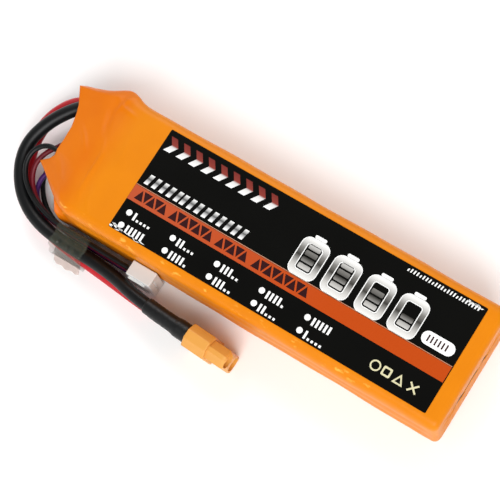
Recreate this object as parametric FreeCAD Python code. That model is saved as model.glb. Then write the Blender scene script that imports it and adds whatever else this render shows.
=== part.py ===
import FreeCAD, Part
import math
import os

"""Three-cell lithium polymer battery pack for models, with its two main leads and its balance lead.

Frame: +X runs from the open collar, where the leads come out, to the closed end.  +Z is up and the
label faces up.  The leads lie on the -Y side.  The origin is the middle of the pack's underside.
All sizes are in millimetres.
"""

Vec = FreeCAD.Vector

# ---- driving dimensions of the pack -------------------------------------------------------
BLOCK_LENGTH = 135.0        # cell block in its film, closed end to the lead-end crease
COLLAR_LENGTH = 21.0        # loose film past the block, open at its mouth
PACK_WIDTH = 43.0
PACK_HEIGHT = 24.0
FILM = 0.4                  # heat-shrink film
FILM_ROUND = 3.0            # film over the block's long edges
END_ROUND = 2.0             # film over the closed end's rim
MOUTH_TOP = 20.0            # the collar's roof falls to this height at its mouth
MOUTH_WIDTH = 42.0
END_LIP = 10.6              # film turned in over the closed end, all round
WINDOW_ROUND = 1.2          # corners of the slot that the lip leaves

CELL_COUNT = 3
CELL_THICK = 7.0
CELL_WIDTH = 41.4
CELL_SEAM = 0.4             # folded side seam of a pouch
SEAM_SHARE = 0.4            # the seam's height as a share of the pouch's thickness
SEAM_INSET = 2.0            # the seam stops this far from the pouch's ends
CELL_TERRACE = 6.0          # flat sealed strip that the tabs come out of
TERRACE_THICK = 0.8
TERRACE_INSET = 1.5         # the terrace is this much narrower on each side
CELL_ROUND = 1.2
PAD_THICK = 0.5             # foam between cells, and the stiffener plates
STACK_TAPE = 0.1
STACK_TAPE_WIDTH = 12.0
STACK_TAPE_PLACES = (24.0, 109.0)   # from the block's lead end to each band
STACK_ROUND = 2.5           # inner corner of the tape round the stack
PLATE_INSET = 2.5           # plates and foam stop this far inside the pouches' sides
END_PAD = 1.2
END_PAD_WIDTH = 39.0
END_PAD_MARGIN = 2.0        # below and above the end pad

TAB_WIDTH = 8.0
TAB_THICK = 0.3
TAB_OFFSET = 9.0            # tab centre from the pack's centre plane
TAB_TIP = 0.1               # a tab stands this far out of its solder
BOARD_THICK = 1.6
BOARD_HALF_WIDTH = 20.4
BOARD_EDGE = 1.2            # the board stops this far above the underside and below the top
BOARD_CORNER = 1.6
SLOT_CLEARANCE = 0.15
COPPER = 0.5                # copper pads on the board
PAD_HALF_WIDTH = 4.5        # a copper pad reaches this far each side of its tabs
PAD_MARGIN = 1.4            # and this far past them in height
LEAD_PAD_START = 14.4       # the main leads' pads start here
INSULATOR = 0.3
SOLDER_RISE = 0.6           # solder bead round a tab's tip
SOLDER_HALF_WIDTH = 4.2
SOLDER_HALF_HEIGHT = 0.8
SOLDER_ROUND = 0.35

LABEL_LENGTH = 114.0
LABEL_WIDTH = 36.6
LABEL_START = -41.5
LABEL_THICK = 0.1

# ---- leads, plugs and tape ----------------------------------------------------------------
LEAD_OD = 4.5               # silicone main lead
WIRE_OD = 1.7               # silicone balance wire
LEAD_JOINT = 1.4            # solder cone at the start of a main lead
WIRE_JOINT = 0.8
JOINT_FLARE = 0.5           # a cone's base stands this far past its lead
ARC_SHARE = 0.45            # share of the shorter run that an arc takes

PLUG_HEIGHT = 16.0          # the main plug stands on its edge
PLUG_THICK = 8.0
PLUG_REAR = 8.4
PLUG_NOSE = 7.0
PLUG_INSET = 0.8            # nose inside the rear body
PLUG_CHAMFER = 2.5
NOSE_ROUND = 1.4            # round tip of the nose
PLUG_EDGE = 0.5
PLUG_PITCH = 7.2            # between the two contacts
PLUG_TURN = -2.9            # degrees from +X
PLUG_LEAN = 5.0             # degrees that its top leans away from the pack
PLUG_FOOT = Vec(-3.953, -32.152, 0.0)     # middle of its rear face, at the foot
GRIP_START = 2.2            # three shallow grip grooves on each broad side
GRIP_LENGTH = 4.0
GRIP_HALF_HEIGHT = 0.4
GRIP_DEPTH = 0.3
GRIP_SHARES = (0.27, 0.5, 0.73)
SOCKET_OD = 5.0
SOCKET_BORE = 3.5
SOCKET_DEPTH = 8.0
SOCKET_RECESS = 1.2
CUP_LENGTH = 3.2            # solder cup behind the plug's rear face
CUP_BORE = 4.0
CUP_FLOOR = 0.6             # metal left at the bottom of a cup
SHRINK_WALL = 0.5
SHRINK_CLEARANCE = 0.02     # between a lead and the inside of its heat shrink
SHRINK_LENGTH = 8.0         # heat shrink in front of the cup, on the lead

BALANCE_HEIGHT = 12.3       # the balance plug stands on its edge too
BALANCE_THICK = 5.75
BALANCE_LENGTH = 9.0
BALANCE_PITCH = 2.5
BALANCE_PLACE = Vec(-32.3, -24.7, 0.0)
BALANCE_RIB = 0.7           # two guide ribs stand this far out of the outer face
RIB_WIDTH = 1.2
RIB_MARGIN = 1.5            # from the housing's edge to a rib
RIB_ENDS = (1.0, 1.8)       # a rib stops this far from the rear and front faces
BALANCE_EDGE = 0.35
CAVITY = 2.1                # square cavity behind each way
CAVITY_LENGTH = 7.6
PIN_WINDOW = 1.0            # square pin hole in the front face
LATCH_WINDOW = (3.4, 5.6)   # latch windows, from the rear face
LATCH_HALF_HEIGHT = 0.6
TERMINAL = 1.6
TERMINAL_START = 1.1        # a terminal lies this deep in its cavity
TERMINAL_LENGTH = 6.0
TERMINAL_HOLE = 0.8
TERMINAL_SOLID = 2.0        # crimped part behind the terminal's hole

TAPE_START = -61.0
TAPE_WIDTH = 12.5
TAPE_THICK = 0.25
TAPE_OUTLINE = [(-23.2, 10.1), (-23.2, 0.25), (-31.6, 0.25), (-32.5, 1.4),
                (-32.5, 3.6), (-31.0, 8.0), (-29.4, 9.4), (-25.2, 10.1)]

# Plan outline of the collar's ragged mouth: the film ends on this line.
MOUTH_LINE = [(-78.0, 22.0), (-78.0, 17.0), (-73.2, 5.0), (-73.6, -6.0),
              (-76.4, -10.5), (-70.0, -14.0), (-65.0, -19.0), (-64.0, -22.0)]

# Centre lines of the leads, each a list of points that its runs join.
LEAD_ROUTES = {
    "black_lead": [(-60.5, 17.5, 15.0), (-66.5, 17.5, 15.0), (-75.0, 12.2, 14.7),
                   (-80.6, 5.4, 13.6), (-84.0, -1.4, 12.2), (-85.2, -7.6, 10.9),
                   (-83.6, -14.4, 9.4), (-78.4, -21.4, 8.2), (-70.6, -26.2, 7.3),
                   (-59.6, -28.3, 7.2), (-39.0, -28.4, 7.2), (-23.0, -32.2, 11.9),
                   (-7.2, -33.0, 11.9)],
    "red_lead": [(-60.5, 17.5, 8.6), (-71.0, 17.5, 8.6), (-79.6, 14.2, 8.2),
                 (-84.4, 7.4, 7.6), (-86.0, -0.4, 6.8), (-85.2, -7.6, 5.6),
                 (-82.2, -14.4, 4.4), (-77.4, -20.4, 3.0), (-70.4, -25.6, 2.6),
                 (-59.8, -28.2, 2.51), (-39.0, -29.9, 2.51), (-23.0, -31.57, 4.73),
                 (-7.17, -32.37, 4.73)],
}
WIRE_ROUTES = {
    "balance_wire_1": [(-59.9, -6.0, 16.9), (-66.3, -6.0, 16.9), (-72.3, -4.5, 16.6),
                       (-77.5, -4.7, 15.9), (-80.8, -8.5, 14.8), (-80.8, -13.6, 13.3),
                       (-77.6, -18.4, 11.4), (-72.0, -21.9, 10.0), (-63.4, -24.2, 9.1),
                       (-51.0, -24.3, 9.0), (-40.8, -24.7, 9.9), (-31.2, -24.7, 9.9)],
    "balance_wire_2": [(-59.9, 6.0, 15.7), (-65.9, 6.0, 15.7), (-70.3, 2.8, 15.5),
                       (-73.2, -2.4, 15.0), (-76.8, -6.6, 14.0), (-78.6, -11.4, 12.2),
                       (-77.2, -16.4, 10.0), (-72.8, -20.8, 8.4), (-65.2, -23.9, 7.4),
                       (-56.4, -24.3, 7.1), (-47.0, -24.4, 6.9), (-39.0, -24.7, 7.4),
                       (-31.2, -24.7, 7.4)],
    "balance_wire_3": [(-59.9, -6.0, 8.2), (-66.4, -6.0, 8.2), (-73.0, -8.2, 8.1),
                       (-76.2, -13.4, 7.4), (-75.0, -19.0, 6.2), (-70.0, -22.8, 5.4),
                       (-61.8, -24.2, 5.1), (-50.6, -24.4, 5.1), (-40.8, -24.7, 4.9),
                       (-31.2, -24.7, 4.9)],
    "balance_wire_4": [(-59.9, 2.9, 4.5), (-67.4, 2.9, 4.5), (-73.4, -0.4, 4.4),
                       (-77.0, -6.2, 4.2), (-77.2, -12.4, 3.9), (-74.0, -17.6, 3.5),
                       (-69.0, -21.8, 3.2), (-61.8, -24.2, 3.1), (-50.4, -24.4, 3.0),
                       (-40.4, -24.7, 2.4), (-31.2, -24.7, 2.4)],
}

# ---- places worked out from the driving dimensions ----------------------------------------
closed_end = (BLOCK_LENGTH + COLLAR_LENGTH) / 2.0
block_end = closed_end - BLOCK_LENGTH
mouth = block_end - COLLAR_LENGTH
cells_end = closed_end - FILM - END_PAD
board_back = block_end
board_face = board_back - BOARD_THICK
copper_face = board_face - COPPER
terrace_end = board_back + INSULATOR
cell_start = terrace_end + CELL_TERRACE
stack_low = FILM + STACK_TAPE
cell_low = stack_low + PAD_THICK
cell_step = CELL_THICK + PAD_THICK
cell_levels = [cell_low + CELL_THICK / 2.0 + i * cell_step for i in range(CELL_COUNT)]
stack_high = cell_levels[-1] + CELL_THICK / 2.0 + PAD_THICK


def save(name, shape):
    """Writes one sub-part, and says what it holds."""
    shape.exportStep("parts/" + name + ".step")
    print("%-24s solids %d  volume %9.2f mm3" % (name, len(shape.Solids), shape.Volume))


def block(x0, x1, y0, y1, z0, z1):
    """A box between two opposite corners."""
    return Part.makeBox(x1 - x0, y1 - y0, z1 - z0, Vec(x0, y0, z0))


def rod(radius, length, start, direction=Vec(1, 0, 0)):
    """A round bar from a start point."""
    return Part.makeCylinder(radius, length, start, direction)


def rounded_section(x, width, low, high, radius):
    """A rounded rectangle across the pack at one x, as a wire."""
    y = width / 2.0
    k = radius * (1.0 - math.sqrt(0.5))
    corners = [(y, low, 1, 1), (y, high, 1, -1), (-y, high, -1, -1), (-y, low, -1, 1)]
    edges = []
    ends = []
    for index, (cy, cz, sy, sz) in enumerate(corners):
        along_y = Vec(x, cy - sy * radius, cz)
        middle = Vec(x, cy - sy * k, cz + sz * k)
        along_z = Vec(x, cy, cz + sz * radius)
        first, last = (along_y, along_z) if index % 2 == 0 else (along_z, along_y)
        edges.append(Part.Arc(first, middle, last).toShape())
        ends.append((first, last))
    for index in range(4):
        edges.append(Part.LineSegment(ends[index][1], ends[(index + 1) % 4][0]).toShape())
    return Part.Wire(Part.__sortEdges__(edges))


def film_solid(inset):
    """Everything inside the film's outer or inner face: the block and its falling collar."""
    wide = PACK_WIDTH - 2.0 * inset
    high = PACK_HEIGHT - inset
    radius = FILM_ROUND - inset
    past = inset                                  # the inner solid runs on past the mouth
    slope = (PACK_HEIGHT - MOUTH_TOP) / COLLAR_LENGTH
    mouth_wide = MOUTH_WIDTH - 2.0 * inset
    at_block = rounded_section(block_end, wide, inset, high, radius)
    at_close = rounded_section(closed_end - inset, wide, inset, high, radius)
    mouth_high = high - slope * (COLLAR_LENGTH + past)
    at_mouth = rounded_section(mouth - past, mouth_wide, inset, mouth_high, radius)
    body = Part.makeLoft([at_block, at_close], True, True)
    rim = [e for e in body.Edges if e.BoundBox.XMin > closed_end - inset - 0.01]
    body = body.makeFillet(END_ROUND - inset, rim)
    collar = Part.makeLoft([at_mouth, at_block], True, True)
    return body.fuse(collar).removeSplitter()


def prism(outline, low, high):
    """A plan outline drawn up from one height to another."""
    points = [Vec(x, y, low) for x, y in outline]
    face = Part.Face(Part.makePolygon(points + [points[0]]))
    return face.extrude(Vec(0, 0, high - low))


def shrink_sleeve():
    """The film: a thin shell, open at the ragged mouth, with a window in its closed end."""
    shell = film_solid(0.0).cut(film_solid(FILM))
    clear = 5.0
    ends = [(mouth - clear, MOUTH_LINE[-1][1]), (mouth - clear, MOUTH_LINE[0][1])]
    beyond = MOUTH_LINE + ends
    shell = shell.cut(prism(beyond, -clear, PACK_HEIGHT + clear))
    half = PACK_WIDTH / 2.0 - END_LIP
    window = block(closed_end - 1.0, closed_end + 1.0, -half, half, END_LIP, PACK_HEIGHT - END_LIP)
    window = window.makeFillet(WINDOW_ROUND, [e for e in window.Edges if abs(e.tangentAt(0.0).x) > 0.9])
    return shell.cut(window)


def cell(level):
    """One pouch: the drawn body, its folded side seams and the flat terrace at the tab end."""
    half = CELL_WIDTH / 2.0 - CELL_SEAM
    low = level - CELL_THICK / 2.0
    body = block(cell_start, cells_end, -half, half, low, low + CELL_THICK)
    body = body.makeFillet(CELL_ROUND, body.Edges)
    seam_half = SEAM_SHARE * CELL_THICK / 2.0
    for side in (-1.0, 1.0):
        y0, y1 = sorted((side * half, side * (half + CELL_SEAM)))
        seam = block(cell_start + SEAM_INSET, cells_end - SEAM_INSET, y0, y1,
                     level - seam_half, level + seam_half)
        body = body.fuse(seam)
    terrace_half = half - TERRACE_INSET
    terrace = block(terrace_end, cell_start + CELL_ROUND, -terrace_half, terrace_half,
                    level - TERRACE_THICK / 2.0, level + TERRACE_THICK / 2.0)
    return body.fuse(terrace).removeSplitter()


def tab(level, side, clearance=0.0):
    """A tab from a terrace through the board; with clearance it is the slot for that tab."""
    reach = copper_face - SOLDER_RISE - TAB_TIP
    half = TAB_WIDTH / 2.0 + clearance
    thick = TAB_THICK / 2.0 + clearance
    y = side * TAB_OFFSET
    return block(reach, terrace_end, y - half, y + half, level - thick, level + thick)


def tab_side(index, positive):
    """Tabs swap sides from cell to cell, so that neighbours can be joined in series."""
    side = 1.0 if index % 2 == 0 else -1.0
    return side if positive else -side


def all_tabs(clearance=0.0):
    """Every tab or slot as one shape."""
    shapes = [tab(level, side, clearance) for level in cell_levels for side in (-1.0, 1.0)]
    return Part.makeCompound(shapes)


def copper_pad(*rectangles):
    """Copper on the board's face: rectangles y0, y1, z0, z1 in one piece, slotted for the tabs."""
    shapes = [block(copper_face, board_face, *r) for r in rectangles]
    pad = shapes[0]
    for shape in shapes[1:]:
        pad = pad.fuse(shape)
    return pad.removeSplitter().cut(all_tabs())


def copper_pads():
    """The four copper areas that put the cells in series and take the leads."""
    low, mid, high = cell_levels
    near = (-TAB_OFFSET - PAD_HALF_WIDTH, -TAB_OFFSET + PAD_HALF_WIDTH)
    far = (TAB_OFFSET - PAD_HALF_WIDTH, TAB_OFFSET + PAD_HALF_WIDTH)
    lead = (LEAD_PAD_START, BOARD_HALF_WIDTH - 0.2)
    top = high + 3.2
    return {
        "pad_positive": copper_pad((1.6, lead[1], low - 1.6, low + 1.6), (*lead, low - 1.6, low + 7.2)),
        "pad_link_lower": copper_pad((*near, low - PAD_MARGIN, mid + PAD_MARGIN)),
        "pad_link_upper": copper_pad((*far, mid - PAD_MARGIN, high + 1.0)),
        "pad_negative": copper_pad((near[0], lead[1], high + PAD_MARGIN, top),
                                   (*near, high - 4.3, top), (*lead, mid + 0.2, top)),
    }


def tab_solder():
    """A bead of solder round the tip of each tab."""
    beads = []
    for level in cell_levels:
        for side in (-1.0, 1.0):
            y = side * TAB_OFFSET
            bead = block(copper_face - SOLDER_RISE, copper_face, y - SOLDER_HALF_WIDTH, y + SOLDER_HALF_WIDTH,
                         level - SOLDER_HALF_HEIGHT, level + SOLDER_HALF_HEIGHT)
            edges = [e for e in bead.Edges if e.BoundBox.XMax < copper_face - 0.1]
            beads.append(bead.makeFillet(SOLDER_ROUND, edges).cut(tab(level, side)))
    return Part.makeCompound(beads)


def joint_cone(start, diameter, length):
    """Solder that flares from a lead's end to its pad."""
    base = Vec(start[0] + length, start[1], start[2])
    return Part.makeCone(diameter / 2.0 + JOINT_FLARE, diameter / 2.0, length, base, Vec(-1, 0, 0))


def tangent_route(name, points):
    """Straight runs joined by the largest tangent arcs that the runs allow."""
    points = [Vec(*p) for p in points]
    edges = []
    radii = []
    start = points[0]
    for before, corner, after in zip(points, points[1:], points[2:]):
        run_in = corner - before
        run_out = after - corner
        half_turn = run_in.getAngle(run_out) / 2.0
        reach = ARC_SHARE * min(run_in.Length, run_out.Length)
        radius = reach / math.tan(half_turn)
        way_in = Vec(run_in).normalize()
        way_out = Vec(run_out).normalize()
        inward = (way_out - way_in).normalize()
        begin = corner - way_in * reach
        end = corner + way_out * reach
        middle = corner + inward * (radius / math.cos(half_turn) - radius)
        edges.append(Part.LineSegment(start, begin).toShape())
        edges.append(Part.Arc(begin, middle, end).toShape())
        radii.append(radius)
        start = end
    edges.append(Part.LineSegment(start, points[-1]).toShape())
    wire = Part.Wire(edges)
    print("%-16s length %6.1f mm, bend radii %s" % (name, wire.Length, " ".join("%.1f" % r for r in radii)))
    return wire


def tube(name, points, diameter):
    """A round lead along its route, with its volume compared with section times length."""
    path = tangent_route(name, points)
    first = Vec(*points[0])
    ring = Part.Wire(Part.makeCircle(diameter / 2.0, first, Vec(*points[1]) - first))
    solid = path.makePipeShell([ring], True, False)
    expected = math.pi * diameter ** 2 / 4.0 * path.Length
    print("%-16s volume ratio %.4f" % (name, solid.Volume / expected))
    return solid


def place_plug(shape):
    """Takes a shape from the plug's own frame, +X out of its nose, to where the plug stands."""
    placed = shape.copy()
    placed.rotate(Vec(0, 0, 0), Vec(1, 0, 0), PLUG_LEAN)
    placed.rotate(Vec(0, 0, 0), Vec(0, 0, 1), PLUG_TURN)
    lift = PLUG_THICK / 2.0 * math.sin(math.radians(PLUG_LEAN))
    placed.translate(PLUG_FOOT + Vec(0, 0, lift))
    return placed


def plug_section(x, inset):
    """The plug's keyed outline: two chamfered corners on top, two plain ones below."""
    y = PLUG_THICK / 2.0 - inset
    low = inset
    high = PLUG_HEIGHT - inset
    c = PLUG_CHAMFER
    points = [Vec(x, -y, low), Vec(x, y, low), Vec(x, y, high - c), Vec(x, y - c, high),
              Vec(x, -y + c, high), Vec(x, -y, high - c)]
    return Part.Face(Part.makePolygon(points + [points[0]]))


def contact_levels():
    """Heights of the black and the red contact."""
    return {"black": PLUG_HEIGHT / 2.0 + PLUG_PITCH / 2.0, "red": PLUG_HEIGHT / 2.0 - PLUG_PITCH / 2.0}


def main_plug_housing():
    """The amber housing: a rear body and a narrower nose, with two contact bores."""
    rear = plug_section(0.0, 0.0).extrude(Vec(PLUG_REAR, 0, 0))
    rear = rear.makeFillet(PLUG_EDGE, rear.Edges)
    nose = plug_section(PLUG_REAR - 1.0, PLUG_INSET).extrude(Vec(PLUG_NOSE + 1.0, 0, 0))
    tip = PLUG_REAR + PLUG_NOSE
    nose = nose.makeFillet(NOSE_ROUND, [e for e in nose.Edges if e.BoundBox.XMin > PLUG_REAR])
    housing = rear.fuse(nose).removeSplitter()
    for level in contact_levels().values():
        housing = housing.cut(rod(SOCKET_OD / 2.0, tip + 2.0, Vec(-1.0, 0, level)))
    groove_floor = PLUG_THICK / 2.0 - GRIP_DEPTH
    for share in GRIP_SHARES:
        low = PLUG_HEIGHT * share - GRIP_HALF_HEIGHT
        high = PLUG_HEIGHT * share + GRIP_HALF_HEIGHT
        grip_end = GRIP_START + GRIP_LENGTH
        housing = housing.cut(block(GRIP_START, grip_end, -PLUG_THICK, -groove_floor, low, high))
        housing = housing.cut(block(GRIP_START, grip_end, groove_floor, PLUG_THICK, low, high))
    return place_plug(housing)


def main_socket(level):
    """A gold-plated contact: a sprung socket in the nose and a solder cup behind the body."""
    front = PLUG_REAR + PLUG_NOSE - SOCKET_RECESS
    contact = rod(SOCKET_OD / 2.0, front + CUP_LENGTH, Vec(-CUP_LENGTH, 0, level))
    contact = contact.cut(rod(SOCKET_BORE / 2.0, SOCKET_DEPTH, Vec(front - SOCKET_DEPTH, 0, level)))
    contact = contact.cut(rod(CUP_BORE / 2.0, CUP_LENGTH - CUP_FLOOR, Vec(-CUP_LENGTH, 0, level)))
    return place_plug(contact)


def lead_core(level):
    """The stripped end of a lead's copper strands, tinned into the cup."""
    return place_plug(rod(CUP_BORE / 2.0, CUP_LENGTH - CUP_FLOOR, Vec(-CUP_LENGTH, 0, level)))


def heat_shrink(level):
    """A black tube shrunk over the end of a lead and its solder cup."""
    lead_r = LEAD_OD / 2.0 + SHRINK_CLEARANCE
    cup_r = SOCKET_OD / 2.0
    start = -CUP_LENGTH - SHRINK_LENGTH
    outer = rod(cup_r + SHRINK_WALL, SHRINK_LENGTH + CUP_LENGTH, Vec(start, 0, level))
    outer = outer.cut(rod(lead_r, SHRINK_LENGTH + 1.0, Vec(start - 1.0, 0, level)))
    outer = outer.cut(rod(cup_r, CUP_LENGTH + 1.0, Vec(-CUP_LENGTH, 0, level)))
    return place_plug(outer)


def balance_levels():
    """Heights of the balance plug's ways, from the top down."""
    ways = CELL_COUNT + 1
    middle = BALANCE_HEIGHT / 2.0
    return [middle + (ways - 1 - 2 * i) * BALANCE_PITCH / 2.0 for i in range(ways)]


def square_way(x0, x1, y, level, side):
    """A square bar along one way of the balance plug."""
    half = side / 2.0
    return block(x0, x1, y - half, y + half, level - half, level + half)


def balance_plug_housing():
    """The white nylon housing, with guide ribs on one face and a cavity for each way."""
    x, y, z = BALANCE_PLACE
    half = BALANCE_THICK / 2.0
    front = x + BALANCE_LENGTH
    body = block(x, front, y - half + BALANCE_RIB, y + half, z, z + BALANCE_HEIGHT)
    body = body.makeFillet(BALANCE_EDGE, body.Edges)
    root = y - half + BALANCE_RIB + BALANCE_EDGE
    for low in (RIB_MARGIN, BALANCE_HEIGHT - RIB_MARGIN - RIB_WIDTH):
        body = body.fuse(block(x + RIB_ENDS[0], front - RIB_ENDS[1], y - half, root, low, low + RIB_WIDTH))
    for level in balance_levels():
        body = body.cut(square_way(x - 1.0, x + CAVITY_LENGTH, y, level, CAVITY))
        body = body.cut(square_way(x, front + 1.0, y, level, PIN_WINDOW))
        body = body.cut(block(x + LATCH_WINDOW[0], x + LATCH_WINDOW[1], y, y + half + 1.0,
                              level - LATCH_HALF_HEIGHT, level + LATCH_HALF_HEIGHT))
    return body.removeSplitter()


def balance_terminals():
    """Four crimped contacts, one behind each way."""
    x, y, z = BALANCE_PLACE
    start = x + TERMINAL_START
    end = start + TERMINAL_LENGTH
    shapes = []
    for level in balance_levels():
        contact = square_way(start, end, y, level, TERMINAL)
        shapes.append(contact.cut(square_way(start + TERMINAL_SOLID, end + 1.0, y, level, TERMINAL_HOLE)))
    return Part.makeCompound(shapes)


def wire_tape():
    """A clear tape band that gathers the leads and balance wires beside the pack."""
    points = [Vec(TAPE_START, y, z) for y, z in TAPE_OUTLINE]
    inner = Part.Face(Part.makePolygon(points + [points[0]]))
    outer = inner.makeOffset2D(TAPE_THICK)
    band = outer.cut(inner)
    return band.extrude(Vec(TAPE_WIDTH, 0, 0))


def stack_tape():
    """Two polyimide bands that hold the cells and plates together."""
    bands = []
    for place in STACK_TAPE_PLACES:
        sections = []
        for grow in (STACK_TAPE, 0.0):
            wide = CELL_WIDTH + 2.0 * grow
            wire = rounded_section(block_end + place, wide, stack_low - grow, stack_high + grow,
                                   STACK_ROUND + grow)
            sections.append(Part.Face(wire))
        bands.append(sections[0].cut(sections[1]).extrude(Vec(STACK_TAPE_WIDTH, 0, 0)))
    return Part.makeCompound(bands)


def plate(low, thick):
    """A flat sheet that covers the cells' faces."""
    half = CELL_WIDTH / 2.0 - PLATE_INSET
    return block(cell_start, cells_end, -half, half, low, low + thick)


def end_sheet(x0, x1):
    """A sheet across the lead end of the stack, with round corners and a slot for each tab."""
    sheet = block(x0, x1, -BOARD_HALF_WIDTH, BOARD_HALF_WIDTH, BOARD_EDGE, PACK_HEIGHT - BOARD_EDGE)
    corners = [e for e in sheet.Edges if abs(e.tangentAt(0.0).x) > 0.9]
    return sheet.makeFillet(BOARD_CORNER, corners).cut(all_tabs(SLOT_CLEARANCE))


os.makedirs("parts", exist_ok=True)

save("shrink_sleeve", shrink_sleeve())
half_label = LABEL_WIDTH / 2.0
save("front_label", block(LABEL_START, LABEL_START + LABEL_LENGTH, -half_label, half_label,
                          PACK_HEIGHT, PACK_HEIGHT + LABEL_THICK))
for index, level in enumerate(cell_levels):
    save("cell_%d" % (index + 1), cell(level))
    save("cell_%d_tab_positive" % (index + 1), tab(level, tab_side(index, True)))
    save("cell_%d_tab_negative" % (index + 1), tab(level, tab_side(index, False)))
for index, level in enumerate(cell_levels[:-1]):
    save("foam_pad_%d" % (index + 1), plate(level + CELL_THICK / 2.0, PAD_THICK))
save("bottom_plate", plate(stack_low, PAD_THICK))
save("top_plate", plate(stack_high - PAD_THICK, PAD_THICK))
save("end_pad", block(cells_end, closed_end - FILM, -END_PAD_WIDTH / 2.0, END_PAD_WIDTH / 2.0,
                      END_PAD_MARGIN, PACK_HEIGHT - END_PAD_MARGIN))
save("stack_tape", stack_tape())
save("end_insulator", end_sheet(board_back, terrace_end))
save("circuit_board", end_sheet(board_face, board_back))
for name, shape in copper_pads().items():
    save(name, shape)
save("tab_solder", tab_solder())
for name, points in LEAD_ROUTES.items():
    save(name + "_solder", joint_cone(points[0], LEAD_OD, LEAD_JOINT))
    save(name, tube(name, points, LEAD_OD))
save("wire_solder", Part.makeCompound([joint_cone(p[0], WIRE_OD, WIRE_JOINT) for p in WIRE_ROUTES.values()]))
for name, points in WIRE_ROUTES.items():
    save(name, tube(name, points, WIRE_OD))
save("main_plug_housing", main_plug_housing())
for colour, level in contact_levels().items():
    save("main_socket_" + colour, main_socket(level))
    save(colour + "_lead_core", lead_core(level))
    save("heat_shrink_" + colour, heat_shrink(level))
save("balance_plug_housing", balance_plug_housing())
save("balance_terminals", balance_terminals())
save("wire_tape", wire_tape())
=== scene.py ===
# %% [markdown]
# A three-cell lithium polymer battery pack lies on a pale table with its label up.  Its two main
# leads leave the open collar of the orange film, swing round the end and run back along the near
# side to a keyed amber plug; four thin balance wires run beside them to a small white plug.
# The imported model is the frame: its pieces stay where they are, and this script gives them finishes
# and adds what a solid model can't show, such as the creased film, the printed label and the cords.

# %% Load the frame
import math

import bpy
import numpy as np
from mathutils import Matrix, Vector


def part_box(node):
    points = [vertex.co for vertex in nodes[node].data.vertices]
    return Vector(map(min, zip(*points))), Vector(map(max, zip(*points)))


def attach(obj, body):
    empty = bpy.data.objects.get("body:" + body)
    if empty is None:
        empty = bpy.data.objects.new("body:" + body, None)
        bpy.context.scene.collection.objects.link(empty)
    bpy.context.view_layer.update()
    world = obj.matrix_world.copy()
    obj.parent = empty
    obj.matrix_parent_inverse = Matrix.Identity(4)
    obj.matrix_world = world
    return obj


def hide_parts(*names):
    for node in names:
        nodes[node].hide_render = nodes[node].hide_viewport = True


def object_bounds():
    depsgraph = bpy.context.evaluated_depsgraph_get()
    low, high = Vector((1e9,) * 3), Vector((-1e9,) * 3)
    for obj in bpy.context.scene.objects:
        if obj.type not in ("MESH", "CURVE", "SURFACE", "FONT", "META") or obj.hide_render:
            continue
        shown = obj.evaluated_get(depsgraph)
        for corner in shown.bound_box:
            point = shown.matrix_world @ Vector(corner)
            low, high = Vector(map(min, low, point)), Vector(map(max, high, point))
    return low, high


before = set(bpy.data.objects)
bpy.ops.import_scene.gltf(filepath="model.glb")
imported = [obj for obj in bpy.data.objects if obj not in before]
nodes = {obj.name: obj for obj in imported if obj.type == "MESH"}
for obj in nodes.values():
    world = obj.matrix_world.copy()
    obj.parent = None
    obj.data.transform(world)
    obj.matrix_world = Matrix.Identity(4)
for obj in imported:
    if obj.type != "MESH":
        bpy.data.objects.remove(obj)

cad_low, cad_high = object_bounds()
scene = bpy.context.scene
MM = 0.001
print("frame", len(nodes), "nodes, box", [round(v / MM, 1) for v in (*cad_low, *cad_high)], "mm")

# %% [markdown]
# The camera stands high over the plug's side and is turned a little about its own axis, so that the
# pack runs across the picture from upper left to lower right.  A camera looks along its own -Z, so
# its three axes are worked out from where it looks from, and the roll turns the first two.

# %% Camera
CAMERA_PLACE = (0.126114, -0.083724, 0.489890)
CAMERA_AZIMUTH = math.radians(56.981)
CAMERA_ELEVATION = math.radians(72.251)
CAMERA_ROLL = math.radians(-25.506)


def camera_axes(azimuth, elevation, roll):
    """Right, up and backward of a camera: backward from the two angles, right level, then rolled."""
    back = Vector((math.sin(azimuth) * math.cos(elevation), -math.cos(azimuth) * math.cos(elevation),
                   math.sin(elevation)))
    level = Vector((math.cos(azimuth), math.sin(azimuth), 0.0))
    upright = back.cross(level)
    right = level * math.cos(roll) + upright * math.sin(roll)
    up = upright * math.cos(roll) - level * math.sin(roll)
    return right, up, back


lens = bpy.data.cameras.new("camera")
lens.sensor_width = 36.0
lens.lens = 115.2
lens.clip_start = 0.01
camera = bpy.data.objects.new("camera", lens)
camera.matrix_world = Matrix.Translation(CAMERA_PLACE) @ Matrix(
    camera_axes(CAMERA_AZIMUTH, CAMERA_ELEVATION, CAMERA_ROLL)).transposed().to_4x4()
scene.collection.objects.link(camera)
scene.camera = camera

# %% [markdown]
# A finish is a small tree of shader nodes.  Written node by node it is hard to read, so a socket is
# wrapped in a class whose operators add Math nodes: mask * 0.5 + 1 is then three nodes.  Everything
# else comes from one method, which takes a node's kind, its settings and what goes into it.

# %% Shader sums


def math_operator(operation, reflected=False):
    """A Python operator that adds one Math node to the tree."""
    def apply(self, other):
        pair = (other, self) if reflected else (self, other)
        return self.finish.node("ShaderNodeMath", {"operation": operation}, dict(enumerate(pair)))
    return apply


class Signal:
    """One output socket of a finish, used in sums like a number."""

    def __init__(self, finish, socket):
        self.finish = finish
        self.socket = socket

    __add__ = math_operator("ADD")
    __radd__ = math_operator("ADD", True)
    __sub__ = math_operator("SUBTRACT")
    __rsub__ = math_operator("SUBTRACT", True)
    __mul__ = math_operator("MULTIPLY")
    __rmul__ = math_operator("MULTIPLY", True)
    __truediv__ = math_operator("DIVIDE")


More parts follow.
